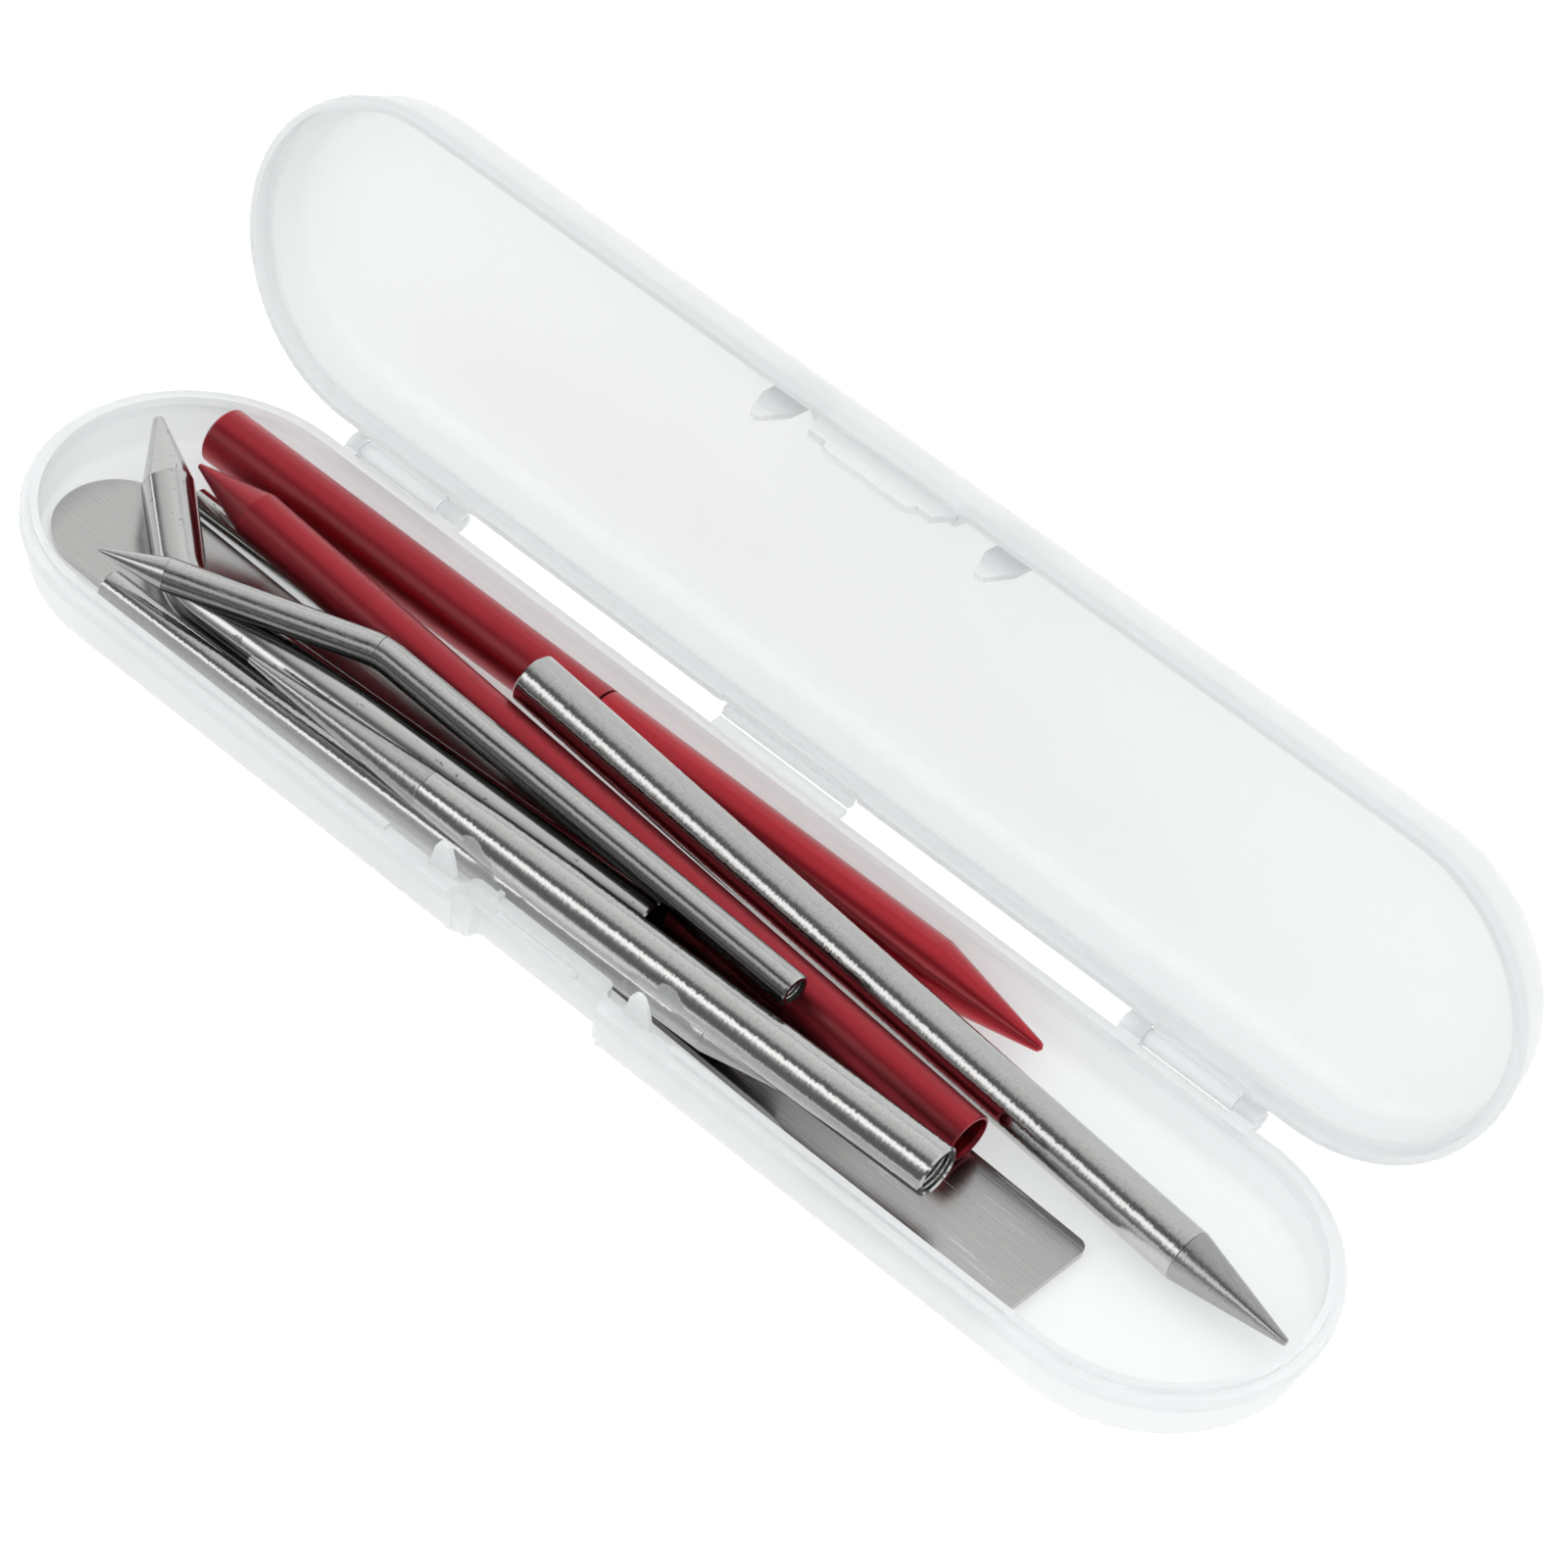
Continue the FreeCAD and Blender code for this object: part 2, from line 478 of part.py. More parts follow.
straight_fid("long_fid", "C", "long_rad", "big_bore_rad", 12.0, 16.0, 16.0, 2.0, tip_r=0.5)
straight_fid("taper_fid", "D", "taper_rad", "big_bore_rad", 12.0, 30.0, 30.0, 1.7, shoulder=2.75, tip_r=0.6)
straight_fid("slim_fid", "G", "slim_rad", "slim_bore_rad", 9.0, 11.5, 11.5, 1.2, tip_r=0.4)

# slim polished needle
LJ = length("J")
R = D["needle_rad"]
needle = turned("slim_needle", [(0, 1.15), (0, R - 0.25), (0.25, R), (LJ - 9.0, R), (LJ - 0.2, 0.35), (LJ, 0.0), (9.0, 0.0), (8.0, 1.0), (0.2, 1.0)],
                {(2, 1): "dims.needle_rad", (3, 1): "dims.needle_rad", (7, 1): "dims.needle_bore_rad", (8, 1): "dims.needle_bore_rad"})
aim(needle, POS["J"][0], POS["J"][1])


def bent_fid(stem, k, alias, bore_alias, bore_len, cone, bend_r, shank_r, shank, tip_r, blunt):
    """Bent tube with a bored end; its point is pressed in at the front."""
    a, m, t = (V(*q) for q in POS[k])
    ex = (m - a).normalize()
    d2 = (t - m).normalize()
    ez = ex.cross(d2).normalize()
    ey = ez.cross(ex)
    ang = ex.getAngle(d2)
    L1, L2 = (m - a).Length, (t - m).Length
    R, bore = D[alias], D[bore_alias]
    rot = FreeCAD.Rotation(ex, ey, ez, "ZXY")
    tl = bend_r * math.tan(ang / 2)
    p1 = V(L1 - tl, 0, 0)
    e2 = V(math.cos(ang), math.sin(ang), 0)
    p2 = V(L1, 0, 0) + e2 * tl
    end = V(L1, 0, 0) + e2 * (L2 - cone)
    c = V(L1 - tl, bend_r, 0)
    mid = c + V(math.sin(ang / 2), -math.cos(ang / 2), 0) * bend_r
    bd = new_body(stem + "_body")
    path = new_sketch(bd, stem + "_path")
    fixed(path, [Part.LineSegment(V(0, 0, 0), p1), Part.Arc(p1, mid, p2), Part.LineSegment(p2, end)])
    sec = new_sketch(bd, stem + "_section", "YZ_Plane")
    circle(sec, 0, 0, alias)
    doc.recompute()
    f = bd.newObject("PartDesign::AdditivePipe", stem + "_tube")
    f.Profile = sec
    f.Spine = (path, ["Edge1", "Edge2", "Edge3"])
    bd.Tip = f
    doc.recompute()
    s = new_sketch(bd, stem + "_bore", "XZ_Plane")
    poly(s, [(-1.0, 0.0), (-1.0, bore), (bore_len, bore), (bore_len + 0.6 * bore, 0.0)],
         {(1, 1): "dims." + bore_alias, (2, 1): "dims." + bore_alias})
    before = bd.Tip.Shape.Volume
    g = bd.newObject("PartDesign::Groove", stem + "_bored")
    g.Profile = s
    g.ReferenceAxis = (s, ["H_Axis"])
    g.Angle = 360.0
    bd.Tip = g
    s.Visibility = False
    doc.recompute()
    cut_vol = before - g.Shape.Volume
    if abs(cut_vol - math.pi * bore * bore * (bore_len + 0.2 * bore)) > 1.0:
        print("GROOVE off:", stem, cut_vol)
    # seat for the point's shank, square to the front end
    fr = FreeCAD.Placement(end, FreeCAD.Rotation(V(0, 0, 1), e2))
    s = new_sketch(bd, stem + "_seat", "XY_Plane", place=fr)
    s.addGeometry(Part.Circle(V(0, 0, 0), V(0, 0, 1), shank_r))
    s.addConstraint(Sketcher.Constraint("Coincident", 0, 3, -1, 1))
    s.addConstraint(Sketcher.Constraint("Radius", 0, shank_r))
    pocket(bd, s, shank + 0.4, stem + "_seated")
    names = []
    for i, e in enumerate(bd.Tip.Shape.Edges, 1):
        if e.BoundBox.XMax < 0.01 and abs(e.Length - 2 * math.pi * R) < 0.5:
            names.append("Edge%d" % i)
    prev = bd.Tip
    ch = bd.newObject("PartDesign::Chamfer", stem + "_mouth")
    ch.Base = (prev, names)
    ch.Size = 0.25
    bd.Tip = ch
    doc.recompute()
    bd.Placement = FreeCAD.Placement(a, rot)
    pt = turned(stem + "_point", [(-shank, 0.0), (-shank, shank_r - 0.25), (-shank + 0.25, shank_r), (0, shank_r), (0, R - 0.08), (0.08, R - 0.01),
                                  (cone - blunt, tip_r), (cone - 0.3 * blunt, tip_r * 0.6), (cone, 0.0)],
                None)
    w_end = FreeCAD.Placement(a, rot).multVec(end)
    aim(pt, tuple(w_end), tuple(t))


bent_fid("thick_bent_fid", "E", "thick_rad", "big_bore_rad", 12.0, 12.5, 12.0, 2.0, 6.0, 0.75, 0.5)
bent_fid("slim_bent_fid", "F", "slim_rad", "slim_bore_rad", 9.0, 9.5, 9.0, 1.2, 6.0, 0.35, 0.25)

# ------------------------------------------------------------- check, export
doc.recompute()
bad = False
for o in doc.Objects:
    st = [x for x in o.State if x in ("Invalid", "Error")]
    if st:
        bad = True
        print("STATE", o.Name, o.State)
for o in doc.Objects:
    if o.TypeId == "PartDesign::Body":
        sh = o.Shape
        if sh.isNull() or not sh.isValid() or len(sh.Solids) != 1:
            bad = True
            print("SHAPE", o.Name, sh.isNull(), None if sh.isNull() else (sh.isValid(), len(sh.Solids)))
        else:
            bb = sh.BoundBox
            print("%-24s vol %9.1f  x %.1f..%.1f y %.1f..%.1f z %.1f..%.1f" % (
                o.Label, sh.Volume, bb.XMin, bb.XMax, bb.YMin, bb.YMax, bb.ZMin, bb.ZMax))
if bad:
    raise RuntimeError("a feature or shape is wrong")
for o in doc.Objects:
    if o.TypeId == "PartDesign::Body":
        o.Shape.exportStep("parts/%s.step" % o.Label)
print("done")
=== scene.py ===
import math

import bmesh
import bpy
import numpy as np
from mathutils import Matrix, Vector


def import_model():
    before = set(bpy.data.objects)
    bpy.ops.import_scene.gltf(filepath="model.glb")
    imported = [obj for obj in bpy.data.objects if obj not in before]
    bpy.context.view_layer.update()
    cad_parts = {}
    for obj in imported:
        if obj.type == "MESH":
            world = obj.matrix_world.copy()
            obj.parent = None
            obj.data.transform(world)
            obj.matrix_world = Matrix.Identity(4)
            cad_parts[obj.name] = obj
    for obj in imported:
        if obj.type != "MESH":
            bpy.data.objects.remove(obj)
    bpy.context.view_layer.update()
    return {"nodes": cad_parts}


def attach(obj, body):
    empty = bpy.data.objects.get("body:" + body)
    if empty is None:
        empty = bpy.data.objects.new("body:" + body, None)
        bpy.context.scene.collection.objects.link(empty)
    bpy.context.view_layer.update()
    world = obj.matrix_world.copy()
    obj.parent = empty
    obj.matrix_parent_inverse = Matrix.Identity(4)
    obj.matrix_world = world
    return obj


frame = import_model()
NODES = frame["nodes"]
scene = bpy.context.scene
MM = 0.001


# ------------------------------------------------------------------ camera
def make_camera():
    right = Vector((0.740063, 0.655674, 0.149660))
    up = Vector((-0.556268, 0.471703, 0.684151))
    back = Vector((0.377985, -0.589566, 0.713820))
    rot = Matrix((right, up, back)).transposed().to_4x4()
    data = bpy.data.cameras.new("camera")
    cam = bpy.data.objects.new("camera", data)
    scene.collection.objects.link(cam)
    cam.matrix_world = Matrix.Translation(Vector((0.269499, -0.396075, 0.515169))) @ rot
    data.sensor_fit = "HORIZONTAL"
    data.sensor_width = 36.0
    data.lens = 36.0 * 5790.29 / 1600.0
    data.clip_start, data.clip_end = 0.02, 20.0
    scene.camera = cam


make_camera()


# ------------------------------------------------------------- node helpers
class Tree:
    def __init__(self, mat):
        self.m = bpy.data.materials.new(mat)
        self.m.use_nodes = True
        self.t = self.m.node_tree
        self.t.nodes.clear()
        self.out = self.t.nodes.new("ShaderNodeOutputMaterial")

    def n(self, kind, **props):
        node = self.t.nodes.new("ShaderNode" + kind)
        for k, v in props.items():
            setattr(node, k, v)
        return node

    def link(self, a, b):
        self.t.links.new(a, b)

    def val(self, sock, v):
        if isinstance(v, bpy.types.NodeSocket):
            self.link(v, sock)
        elif v is not None:
            sock.default_value = v

    def math(self, op, a, b=None, c=None, clamp=False):
        n = self.n("Math", operation=op, use_clamp=clamp)
        self.val(n.inputs[0], a)
        if b is not None:
            self.val(n.inputs[1], b)
        if c is not None:
            self.val(n.inputs[2], c)
        return n.outputs[0]

    def ramp(self, fac, stops, interp="LINEAR"):
        n = self.n("ValToRGB")
        n.color_ramp.interpolation = interp
        el = n.color_ramp.elements
        while len(el) > 1:
            el.remove(el[-1])
        el[0].position, el[0].color = stops[0][0], grey(stops[0][1])
        for p, c in stops[1:]:
            e = el.new(p)
            e.color = grey(c)
        self.link(fac, n.inputs[0])
        return n.outputs[0]

    def noise(self, vec, scale, detail=2.0, rough=0.5, dist=0.0):
        n = self.n("TexNoise")
        self.link(vec, n.inputs["Vector"])
        n.inputs["Scale"].default_value = scale
        n.inputs["Detail"].default_value = detail
        n.inputs["Roughness"].default_value = rough
        n.inputs["Distortion"].default_value = dist
        return n.outputs["Fac"]

    def mapped(self, vec, rot=(0, 0, 0), scale=(1, 1, 1), loc=(0, 0, 0)):
        n = self.n("Mapping")
        self.link(vec, n.inputs["Vector"])
        n.inputs["Rotation"].default_value = rot
        n.inputs["Scale"].default_value = scale
        n.inputs["Location"].default_value = loc
        return n.outputs[0]

    def object_coords(self):
        return self.n("TexCoord").outputs["Object"]

    def mix_rgb(self, fac, a, b, blend="MIX"):
        n = self.n("Mix", data_type="RGBA", blend_type=blend)
        self.val(n.inputs[0], fac)
        self.val(n.inputs[6], a)
        self.val(n.inputs[7], b)
        return n.outputs[2]

    def tilt(self, d, fac, amount):
        """Normal turned to and fro about the axis d by the noise fac."""
        geo = self.n("NewGeometry")
        cr = self.n("VectorMath", operation="CROSS_PRODUCT")
        self.link(geo.outputs["Normal"], cr.inputs[0])
        cr.inputs[1].default_value = tuple(d)
        sc = self.n("VectorMath", operation="SCALE")
        self.link(cr.outputs[0], sc.inputs[0])
        self.link(self.math("MULTIPLY_ADD", fac, amount, -amount / 2), sc.inputs["Scale"])
        ad = self.n("VectorMath", operation="ADD")
        self.link(geo.outputs["Normal"], ad.inputs[0])
        self.link(sc.outputs[0], ad.inputs[1])
        nm = self.n("VectorMath", operation="NORMALIZE")
        self.link(ad.outputs[0], nm.inputs[0])
        return nm.outputs[0]

    def around(self):
        """Turn of the surface about the long axis: 0 faces back, 0.5 faces up, 0.75 faces the front."""
        sep = self.n("SeparateXYZ")
        self.link(self.n("TexCoord").outputs["Normal"], sep.inputs[0])
        at = self.math("ARCTAN2", self.math("MULTIPLY", sep.outputs[1], -1.0), sep.outputs[2])
        return self.math("MULTIPLY_ADD", at, 1 / (2 * math.pi), 0.5)

    def bump(self, height, strength, dist, normal=None):
        n = self.n("Bump")
        n.inputs["Strength"].default_value = strength
        n.inputs["Distance"].default_value = dist
        self.link(height, n.inputs["Height"])
        if normal is not None:
            self.link(normal, n.inputs["Normal"])
        return n.outputs[0]


def grey(c):
    return (c, c, c, 1.0) if isinstance(c, (int, float)) else (*c, 1.0)


def axis_of(node):
    """Middle and long direction of a straight CAD node, from its points."""
    co = np.array([v.co for v in NODES[node].data.vertices])
    mid = (co.min(0) + co.max(0)) / 2
    _, vec = np.linalg.eigh(np.cov((co - co.mean(0)).T))
    d = vec[:, -1]
    if d[0] < 0:
        d = -d
    return Vector(mid), Vector(d)


def aligned(t, d):
    """Object coordinates turned so that local X runs along d."""
    q = Vector(d).rotation_difference(Vector((1, 0, 0)))
    e = q.to_matrix().to_euler("XYZ")
    return t.mapped(t.object_coords(), rot=tuple(e))


# ---------------------------------------------------------------- materials
def steel(name, d, base=(0.635, 0.632, 0.622), rough=0.10, speck=1.0, lines=1.0, painted_shade_band=None):
    """Turned steel: short fine rings round the axis d that break up the highlight."""
    t = Tree(name)
    v = aligned(t, d)
    rings = t.noise(t.mapped(v, scale=(3900.0, 950.0, 950.0)), 1.0, 3.0, 0.7)
    grit = t.noise(t.mapped(v, scale=(2600.0, 3000.0, 3000.0)), 1.0, 2.0, 0.6)
    stain = t.noise(t.mapped(v, scale=(45.0, 140.0, 140.0)), 1.0, 3.0, 0.55)
    bs = t.n("BsdfPrincipled")
    c = t.mix_rgb(t.ramp(stain, [(0.3, 0.0), (0.75, 1.0)]), grey(tuple(x * 0.95 for x in base)), grey(base))
    c = t.mix_rgb(t.ramp(grit, [(0.30, 1.0), (0.48, 0.0)]), c, grey(tuple(x * 0.84 for x in base)))
    # painted shade: an optional multiply band darkens the colour by how the surface turns round the rod, leaving
    # lighter stripes between, standing in for the dark and bright reflections across it
    if painted_shade_band:
        streak = t.noise(t.mapped(v, scale=(28.0, 1500.0, 1500.0)), 1.0, 2.0, 0.6)
        turn = t.math("MULTIPLY_ADD", streak, 0.05, t.math("ADD", t.around(), -0.025))
        c = t.mix_rgb(1.0, c, t.ramp(turn, painted_shade_band, "EASE"), "MULTIPLY")
    t.link(c, bs.inputs["Base Color"])
    bs.inputs["Metallic"].default_value = 1.0
    r = t.math("MULTIPLY_ADD", grit, 0.08, rough)
    t.link(r, bs.inputs["Roughness"])
    nrm = t.tilt(d, rings, 0.25 * lines)
    t.link(t.bump(grit, 0.16 * speck, 0.00004, nrm), bs.inputs["Normal"])
    t.link(bs.outputs[0], t.out.inputs[0])
    return t.m


def polished(name, d, base=(0.66, 0.66, 0.65), rough=0.07):
    t = Tree(name)
    v = aligned(t, d)
    fine = t.noise(t.mapped(v, scale=(120.0, 2200.0, 2200.0)), 1.0, 3.0, 0.6)
    cloud = t.noise(t.mapped(v, scale=(90.0, 200.0, 200.0)), 1.0, 2.0, 0.5)
    pits = t.noise(t.mapped(v, scale=(900.0, 1300.0, 1300.0)), 1.0, 1.0, 0.5)
    bs = t.n("BsdfPrincipled")
    c = t.mix_rgb(t.ramp(pits, [(0.24, 1.0), (0.33, 0.0)]), grey(base), grey(tuple(x * 0.5 for x in base)))
    t.link(c, bs.inputs["Base Color"])
    bs.inputs["Metallic"].default_value = 1.0
    r = t.math("MULTIPLY_ADD", cloud, 0.12, rough)
    t.link(r, bs.inputs["Roughness"])
    t.link(t.bump(fine, 0.10, 0.00008), bs.inputs["Normal"])
    t.link(bs.outputs[0], t.out.inputs[0])
    return t.m


def anodised(name, d, base=(0.50, 0.009, 0.026), rough=0.42, coat=0.36):
    t = Tree(name)
    v = aligned(t, d)
    streak = t.noise(t.mapped(v, scale=(40.0, 900.0, 900.0)), 1.0, 3.0, 0.6)
    rings = t.noise(t.mapped(v, scale=(2600.0, 80.0, 80.0)), 1.0, 2.0, 0.6)
    cloud = t.noise(t.mapped(v, scale=(50.0, 120.0, 120.0)), 1.0, 3.0, 0.5)
    bs = t.n("BsdfPrincipled")
    c = t.mix_rgb(t.ramp(streak, [(0.25, 0.0), (0.8, 1.0)]), grey(tuple(x * 0.86 for x in base)), grey(tuple(min(1, x * 1.1) for x in base)))
    # painted shade: a darker band across the turn between the top and the front of each red rod, damping the strip
    # highlight there
    painted_shade_band = t.ramp(t.around(), [(0.565, 1.0), (0.60, 0.66), (0.62, 0.52), (0.645, 0.52), (0.675, 0.95), (0.70, 1.0)], "EASE")
    c = t.mix_rgb(1.0, c, painted_shade_band, "MULTIPLY")
    t.link(c, bs.inputs["Base Color"])
    bs.inputs["Metallic"].default_value = 1.0
    r = t.math("MULTIPLY_ADD", cloud, 0.08, rough)
    t.link(r, bs.inputs["Roughness"])
    bs.inputs["Coat Weight"].default_value = 0.85
    bs.inputs["Coat Roughness"].default_value = coat
    bs.inputs["Coat IOR"].default_value = 1.5
    b1 = t.bump(streak, 0.10, 0.00006)
    t.link(t.bump(rings, 0.10, 0.00006, b1), bs.inputs["Normal"])
    t.link(bs.outputs[0], t.out.inputs[0])
    return t.m


def blade_steel(name, d):
    t = Tree(name)
    v = aligned(t, d)
    grain = t.noise(t.mapped(v, scale=(55.0, 3600.0, 400.0)), 1.0, 4.0, 0.65)
    cloud = t.noise(t.mapped(v, scale=(45.0, 90.0, 90.0)), 1.0, 3.0, 0.5)
    scr = t.noise(t.mapped(v, rot=(0, 0, 0.05), scale=(70.0, 2300.0, 300.0), loc=(3.0, 1.0, 0)), 1.0, 1.0, 0.5)
    where = t.noise(t.mapped(v, scale=(110.0, 160.0, 160.0), loc=(9.0, 4.0, 0)), 1.0, 1.0, 0.5)
    bs = t.n("BsdfPrincipled")
    base = (0.62, 0.615, 0.605)
    c = t.mix_rgb(t.ramp(grain, [(0.3, 0.0), (0.7, 1.0)]), grey(tuple(x * 0.86 for x in base)), grey(base))
    sep = t.n("SeparateXYZ")
    t.link(t.object_coords(), sep.inputs[0])
    along = t.math("MULTIPLY_ADD", sep.outputs[0], 5.0, 0.5)
    along = t.math("MULTIPLY_ADD", cloud, 0.05, t.math("ADD", along, -0.025))
    # painted shade and reflection: the blade's colour is darkened along its middle, standing in for the dark
    # reflection and shadow of the rods lying over it
    painted_reflection_shade = t.ramp(along, [(0.06, 1.0), (0.22, 0.95), (0.33, 0.40), (0.47, 0.22), (0.59, 0.24), (0.67, 0.52), (0.75, 0.85), (0.82, 1.0)], "EASE")
    c = t.mix_rgb(1.0, c, painted_reflection_shade, "MULTIPLY")
    s = t.math("MULTIPLY", t.ramp(scr, [(0.62, 0.0), (0.70, 1.0)]), t.ramp(where, [(0.42, 0.0), (0.58, 1.0)]))
    s = t.math("MULTIPLY", s, t.ramp(along, [(0.66, 0.0), (0.72, 1.0)]))
    c = t.mix_rgb(s, c, grey((0.85, 0.85, 0.84)))
    t.link(c, bs.inputs["Base Color"])
    bs.inputs["Metallic"].default_value = 1.0
    r = t.math("MULTIPLY_ADD", grain, 0.10, 0.12)
    r = t.math("MULTIPLY_ADD", cloud, 0.08, r)
    r = t.math("MULTIPLY_ADD", s, 0.25, r)
    t.link(r, bs.inputs["Roughness"])
    t.link(t.bump(grain, 0.16, 0.0001), bs.inputs["Normal"])
    t.link(bs.outputs[0], t.out.inputs[0])
    return t.m


def frosted(name, tip, rim, turn=0.0, painted_glow=0.0):
    """Milky polypropylene: diffuse, light passing through, a faint see-through part.
    tip is the direction square to the flat panel, rim the rim's place along it;
    turn lays that panel level."""
    t = Tree(name)
    v = t.object_coords()
    cloud = t.noise(v, 55.0, 3.0, 0.55)
    fine = t.noise(v, 1500.0, 2.0, 0.6)
    flat = t.mapped(v, rot=(turn, 0, 0), scale=(1.0, 1.0, 0.0))
    sp = 0.0
    for sc, loc, cut in ((150.0, 0.0, 0.80), (260.0, 5.0, 0.88)):
        speck = t.n("TexVoronoi", feature="F1")
        t.link(t.mapped(flat, rot=(0, 0, loc), scale=(1.0, 1.5, 0.0), loc=(loc, 0, 0)), speck.inputs["Vector"])
        speck.inputs["Scale"].default_value = sc
        dot = t.ramp(speck.outputs["Distance"], [(0.018, 1.0), (0.034, 0.0)])
        pick = t.n("SeparateColor")
        t.link(speck.outputs["Color"], pick.inputs[0])
        sp = t.math("MAXIMUM", sp, t.math("MULTIPLY", dot, t.math("GREATER_THAN", pick.outputs[0], cut)))
    # painted shade: the rim band is painted darker than the panels, and the side walls a little, standing in for the
    # shading along walls and edges
    tc = t.n("TexCoord")
    dt = t.n("VectorMath", operation="DOT_PRODUCT")
    t.link(tc.outputs["Normal"], dt.inputs[0])
    dt.inputs[1].default_value = tip
    painted_wall_shade = t.ramp(t.math("ABSOLUTE", dt.outputs["Value"]), [(0.25, 0.35), (0.80, 0.0)])
    dp = t.n("VectorMath", operation="DOT_PRODUCT")
    t.link(v, dp.inputs[0])
    dp.inputs[1].default_value = tip
    off = t.math("ABSOLUTE", t.math("MULTIPLY_ADD", dp.outputs["Value"], 100.0, -100.0 * rim))
    painted_shade_band = t.ramp(off, [(0.0, 1.0), (0.24, 1.0), (0.29, 0.25), (0.34, 0.7), (0.38, 0.0)])
    painted_wall_shade = t.math("MAXIMUM", painted_wall_shade, painted_shade_band)
    panel = t.mix_rgb(cloud, grey((0.965, 0.976, 0.979)), grey((0.978, 0.986, 0.988)))
    # painted shade: a darker shaded copy of the panel colour, used on the walls and the rim band
    painted_shade_side = t.mix_rgb(cloud, grey((0.872, 0.890, 0.897)), grey((0.890, 0.905, 0.910)))
    col = t.mix_rgb(painted_wall_shade, panel, painted_shade_side)
    col = t.mix_rgb(t.math("MULTIPLY", sp, 0.5), col, grey((0.40, 0.39, 0.37)))
    bs = t.n("BsdfPrincipled")
    t.link(col, bs.inputs["Base Color"])
    t.link(t.math("MULTIPLY_ADD", fine, 0.15, 0.28), bs.inputs["Roughness"])
    bs.inputs["IOR"].default_value = 1.49
    bs.inputs["Emission Color"].default_value = (1, 1, 1, 1)
    # painted glow: a faint white emission brightens the plastic, standing in for light scattered through it
    bs.inputs["Emission Strength"].default_value = painted_glow
    bs.inputs["Specular IOR Level"].default_value = 0.35
    bm = t.bump(fine, 0.06, 0.00008)
    t.link(bm, bs.inputs["Normal"])
    tl = t.n("BsdfTranslucent")
    t.link(col, tl.inputs[0])
    m1 = t.n("MixShader")
    m1.inputs[0].default_value = 0.36
    t.link(bs.outputs[0], m1.inputs[1])
    t.link(tl.outputs[0], m1.inputs[2])
    gl = t.n("BsdfGlass")
    gl.inputs["Color"].default_value = (0.99, 0.995, 0.997, 1)
    gl.inputs["Roughness"].default_value = 0.25
    gl.inputs["IOR"].default_value = 1.38
    m2 = t.n("MixShader")
    m2.inputs[0].default_value = 0.38
    t.link(m1.outputs[0], m2.inputs[1])
    t.link(gl.outputs[0], m2.inputs[2])
    t.link(m2.outputs[0], t.out.inputs[0])
    return t.m


def dress(node, mat):
    ob = NODES[node]
    ob.data.materials.clear()
    ob.data.materials.append(mat)


X = Vector((1, 0, 0))
OPEN = math.radians(100.4)
UP = Vector((0.0, 0.0, 1.0))
OUT = Vector((0.0, math.sin(OPEN), math.cos(OPEN)))
base_rim = max(c.co.z for c in NODES["case_base"].data.vertices if abs(c.co.x) > 0.09)
lid_rim = min(c.co.dot(OUT) for c in NODES["case_lid"].data.vertices if abs(c.co.x) > 0.085)
# the last argument is the painted glow (emission strength) of each case half
dress("case_base", frosted("frosted_pp_base", UP, base_rim, 0.0, 0.085))
dress("case_lid", frosted("frosted_pp_lid", OUT, lid_rim, OPEN, 0.02))
dress("smoothing_blade", blade_steel("blade_steel", (math.cos(math.radians(1.86)), -math.sin(math.radians(1.86)), 0)))
for nm in ("split_fid_rear", "split_fid_front", "tube_fid"):
    if nm == "split_fid_front":
        dress(nm, anodised(nm + "_red", axis_of(nm)[1], (0.57, 0.009, 0.025), 0.33, 0.24))
    else:
        dress(nm, anodised(nm + "_red", axis_of(nm)[1]))
for nm in ("long_fid_body", "taper_fid_body", "slim_fid_body"):
    pale = (0.69, 0.687, 0.676) if nm == "taper_fid_body" else (0.65, 0.647, 0.637)
    dress(nm, steel(nm + "_steel", axis_of(nm)[1], base=pale))
    dark = (0.46, 0.457, 0.45) if nm == "long_fid_body" else (0.58, 0.577, 0.568)
    dress(nm.replace("_body", "_point"), steel(nm + "_point_steel", axis_of(nm)[1], base=dark, rough=0.20, lines=1.3))
for nm in ("slim_bent_fid", "thick_bent_fid"):
    if nm.startswith("slim"):
        rear = (1, -0.05, 0)
        # painted shade: turn stops for the darker bands painted round the slim bent fid
        painted_shade_stops = [(0.40, 0.75), (0.43, 0.6), (0.46, 1.0), (0.585, 1.0), (0.60, 0.40), (0.655, 0.45), (0.675, 0.9), (0.695, 0.5), (0.73, 0.6), (0.76, 0.3), (0.9, 0.3)]
        dress(nm + "_body", steel(nm + "_steel", rear, base=(0.68, 0.675, 0.665), rough=0.16, lines=0.6, painted_shade_band=painted_shade_stops))
        dress(nm + "_point", steel(nm + "_point_steel", axis_of(nm + "_point")[1], rough=0.16, lines=0.5))
    else:
        dress(nm + "_body", polished(nm + "_steel", (1, 0.03, 0), rough=0.10))
        dress(nm + "_point", polished(nm + "_point_steel", axis_of(nm + "_point")[1], rough=0.16))
dress("slim_needle", polished("needle_steel", axis_of("slim_needle")[1]))


# ----------------------------------------------------------- small details
def frame_on(a, b):
    """Matrix whose X runs from a to b (millimetres), its origin at a."""
    a, b = Vector(a) * MM, Vector(b) * MM
    d = (b - a).normalized()
    q = Vector((1, 0, 0)).rotation_difference(d)
    return Matrix.Translation(a) @ q.to_matrix().to_4x4()


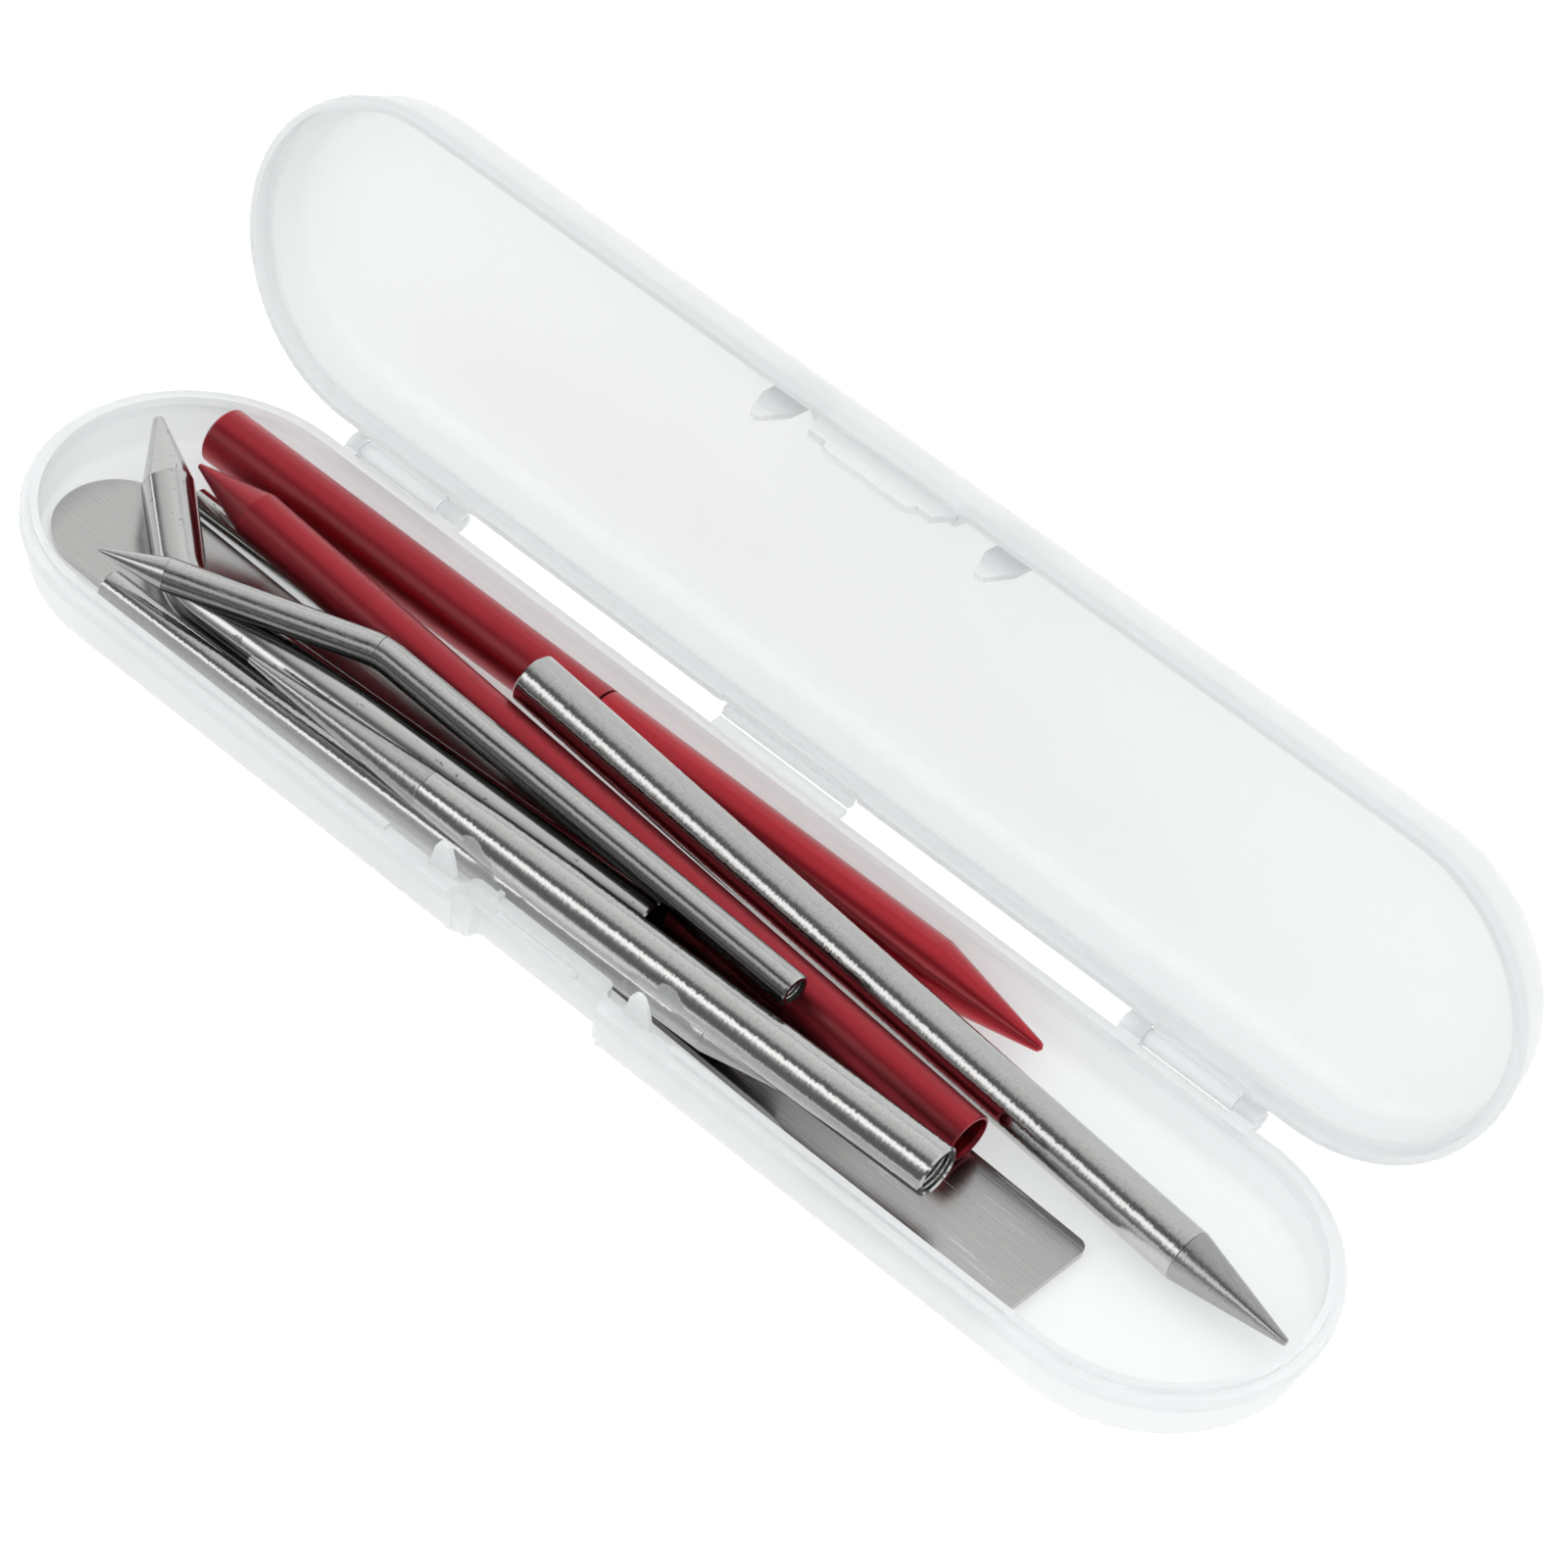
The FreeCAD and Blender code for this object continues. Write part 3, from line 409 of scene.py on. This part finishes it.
def swept(name, ring, steps, body, mat, place):
    """Closed band through len(ring(i)) corners at each step; rides on body."""
    n = len(ring(0))
    verts, faces = [], []
    for i in range(steps):
        verts += [tuple(place @ (Vector(p) * MM)) for p in ring(i)]
    for i in range(steps - 1):
        for k in range(n):
            a, b = i * n + k, i * n + (k + 1) % n
            faces.append((a, b, b + n, a + n))
    faces.append(tuple(range(n))[::-1])
    faces.append(tuple((steps - 1) * n + k for k in range(n)))
    me = bpy.data.meshes.new(name)
    me.from_pydata(verts, [], faces)
    me.validate()
    bm = bmesh.new()
    bm.from_mesh(me)
    bmesh.ops.recalc_face_normals(bm, faces=bm.faces)
    bm.to_mesh(me)
    bm.free()
    me.materials.append(mat)
    ob = bpy.data.objects.new(name, me)
    scene.collection.objects.link(ob)
    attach(ob, body)
    return ob


def thread(name, a, b, radius, depth, pitch, length, body, mat):
    """Thread ridge inside a bored end, from the mouth at a towards b."""
    per = 32
    steps = int(length / pitch * per)

    def ring(i):
        x = 0.45 + pitch * i / per
        w = 2 * math.pi * i / per
        c, s_ = math.cos(w), math.sin(w)
        h = depth * min(1.0, i / per, (steps - 1 - i) / per) + 0.01
        return [(x - 0.36 * pitch, c * (radius + 0.04), s_ * (radius + 0.04)),
                (x, c * (radius - h), s_ * (radius - h)),
                (x + 0.36 * pitch, c * (radius + 0.04), s_ * (radius + 0.04))]

    return swept(name, ring, steps, body, mat, frame_on(a, b))


THREAD = steel("thread_steel", (1, 0, 0), base=(0.50, 0.495, 0.485), rough=0.22, lines=0.3)
thread("taper_fid_thread", (56.44, -12.84, 10.92), (-55.22, -15.97, 11.99), 2.9, 0.20, 0.62, 8.0, "taper_fid", THREAD)
thread("slim_bent_fid_thread", (27.73, -6.7, 13.8), (-44.9, -3.12, 12.77), 1.55, 0.15, 0.45, 5.0, "slim_bent_fid", THREAD)


def seam_ring(name, centre, way, radius, body, mat):
    """Thin raised seam right round a tube."""
    place = frame_on(centre, tuple(Vector(centre) + Vector(way)))

    def ring(i):
        w = 2 * math.pi * i / 64
        c, s_ = math.cos(w), math.sin(w)
        return [(x, c * (radius + h), s_ * (radius + h)) for x, h in ((-0.09, -0.06), (-0.05, 0.03), (0.05, 0.03), (0.09, -0.06))]

    return swept(name, ring, 65, body, mat, place)


SEAM = steel("seam_steel", (1, 0, 0), base=(0.20, 0.20, 0.195), rough=0.30, lines=0.2)
BM, BA, BT = Vector((-44.9, -3.12, 12.77)), Vector((27.73, -6.7, 13.8)), Vector((-80.76, -17.63, 12.6))
D1, D2 = (BM - BA).normalized(), (BT - BM).normalized()
HALF = D1.angle(D2) / 2
inward = (D2 - D1).normalized()
seam_ring("slim_bent_fid_seam", tuple(BM + inward * 9.0 * (1 / math.cos(HALF) - 1)), tuple(D1 + D2), 2.25, "slim_bent_fid", SEAM)


# -------------------------------------------------------------------- stage
def floor():
    me = bpy.data.meshes.new("floor")
    s = 6.0
    me.from_pydata([(-s, -s, 0), (s, -s, 0), (s, s, 0), (-s, s, 0)], [], [(0, 1, 2, 3)])
    ob = bpy.data.objects.new("floor", me)
    ob.location = (0, 0, -0.0004)
    scene.collection.objects.link(ob)
    t = Tree("floor_white")
    sep = t.n("SeparateXYZ")
    t.link(t.n("NewGeometry").outputs["Position"], sep.inputs[0])
    far = t.n("MapRange", interpolation_type="SMOOTHSTEP")
    t.link(sep.outputs[1], far.inputs["Value"])
    far.inputs["From Min"].default_value = -0.022
    far.inputs["From Max"].default_value = -0.060
    dark = t.math("MULTIPLY", far.outputs[0], t.n("LightPath").outputs["Is Glossy Ray"])
    level = t.math("MULTIPLY_ADD", dark, -0.88, 1.0)
    df = t.n("BsdfDiffuse")
    t.link(t.math("MULTIPLY", level, 0.12), df.inputs[0])
    em = t.n("Emission")
    em.inputs[0].default_value = (1, 1, 1, 1)
    t.link(t.math("MULTIPLY", level, 0.95), em.inputs[1])
    ad = t.n("AddShader")
    t.link(df.outputs[0], ad.inputs[0])
    t.link(em.outputs[0], ad.inputs[1])
    t.link(ad.outputs[0], t.out.inputs[0])
    me.materials.append(t.m)


def world():
    """Light tent: even white for soft light, strip boxes and dark gaps for gloss."""
    w = bpy.data.worlds.new("studio")
    scene.world = w
    w.use_nodes = True
    t = w.node_tree
    t.nodes.clear()

    def N(kind, **kw):
        n = t.nodes.new("ShaderNode" + kind)
        for k, v in kw.items():
            setattr(n, k, v)
        return n

    co = N("TexCoord")
    sep = N("SeparateXYZ")
    t.links.new(co.outputs["Generated"], sep.inputs[0])
    neg = N("Math", operation="MULTIPLY")
    neg.inputs[1].default_value = -1.0
    t.links.new(sep.outputs[1], neg.inputs[0])
    at = N("Math", operation="ARCTAN2")
    t.links.new(neg.outputs[0], at.inputs[0])
    t.links.new(sep.outputs[2], at.inputs[1])
    ma = N("Math", operation="MULTIPLY_ADD")
    t.links.new(at.outputs[0], ma.inputs[0])
    ma.inputs[1].default_value = 1 / (2 * math.pi)
    ma.inputs[2].default_value = 0.5
    rp = N("ValToRGB")
    stops = [(-180, 0.8), (-60, 0.88), (-30, 0.80), (-12, 0.68), (4, 0.60), (14, 0.36), (20, 0.16), (36, 0.10), (41, 0.8), (44, 1.42), (56, 1.42),
             (61, 0.80), (68, 0.34), (78, 0.17), (96, 0.10), (125, 0.12), (150, 0.6), (180, 0.8)]
    el = rp.color_ramp.elements
    while len(el) > 1:
        el.remove(el[-1])
    top = max(s[1] for s in stops)
    el[0].position, el[0].color = 0.0, grey(stops[0][1] / top)
    for a, c in stops[1:]:
        e = el.new((a + 180) / 360)
        e.color = grey(c / top)
    t.links.new(ma.outputs[0], rp.inputs[0])
    lp = N("LightPath")
    mx = N("Mix", data_type="RGBA")
    t.links.new(lp.outputs["Is Glossy Ray"], mx.inputs[0])
    mx.inputs[6].default_value = (1.28 / top, 1.28 / top, 1.28 / top, 1)
    t.links.new(rp.outputs[0], mx.inputs[7])
    bg = N("Background")
    deep = N("Math", operation="GREATER_THAN")
    t.links.new(lp.outputs["Ray Depth"], deep.inputs[0])
    deep.inputs[1].default_value = 2.5
    both = N("Math", operation="MULTIPLY")
    t.links.new(deep.outputs[0], both.inputs[0])
    t.links.new(lp.outputs["Is Glossy Ray"], both.inputs[1])
    dim = N("Math", operation="MULTIPLY_ADD")
    t.links.new(both.outputs[0], dim.inputs[0])
    dim.inputs[1].default_value = -0.7 * top
    dim.inputs[2].default_value = top
    t.links.new(dim.outputs[0], bg.inputs[1])
    t.links.new(mx.outputs[2], bg.inputs[0])
    out = N("OutputWorld")
    t.links.new(bg.outputs[0], out.inputs[0])
    w.cycles.sampling_method = "NONE"


floor()
world()
scene.cycles.diffuse_bounces = 8
scene.cycles.transmission_bounces = 10
scene.view_settings.view_transform = "Standard"
scene.view_settings.look = "None"
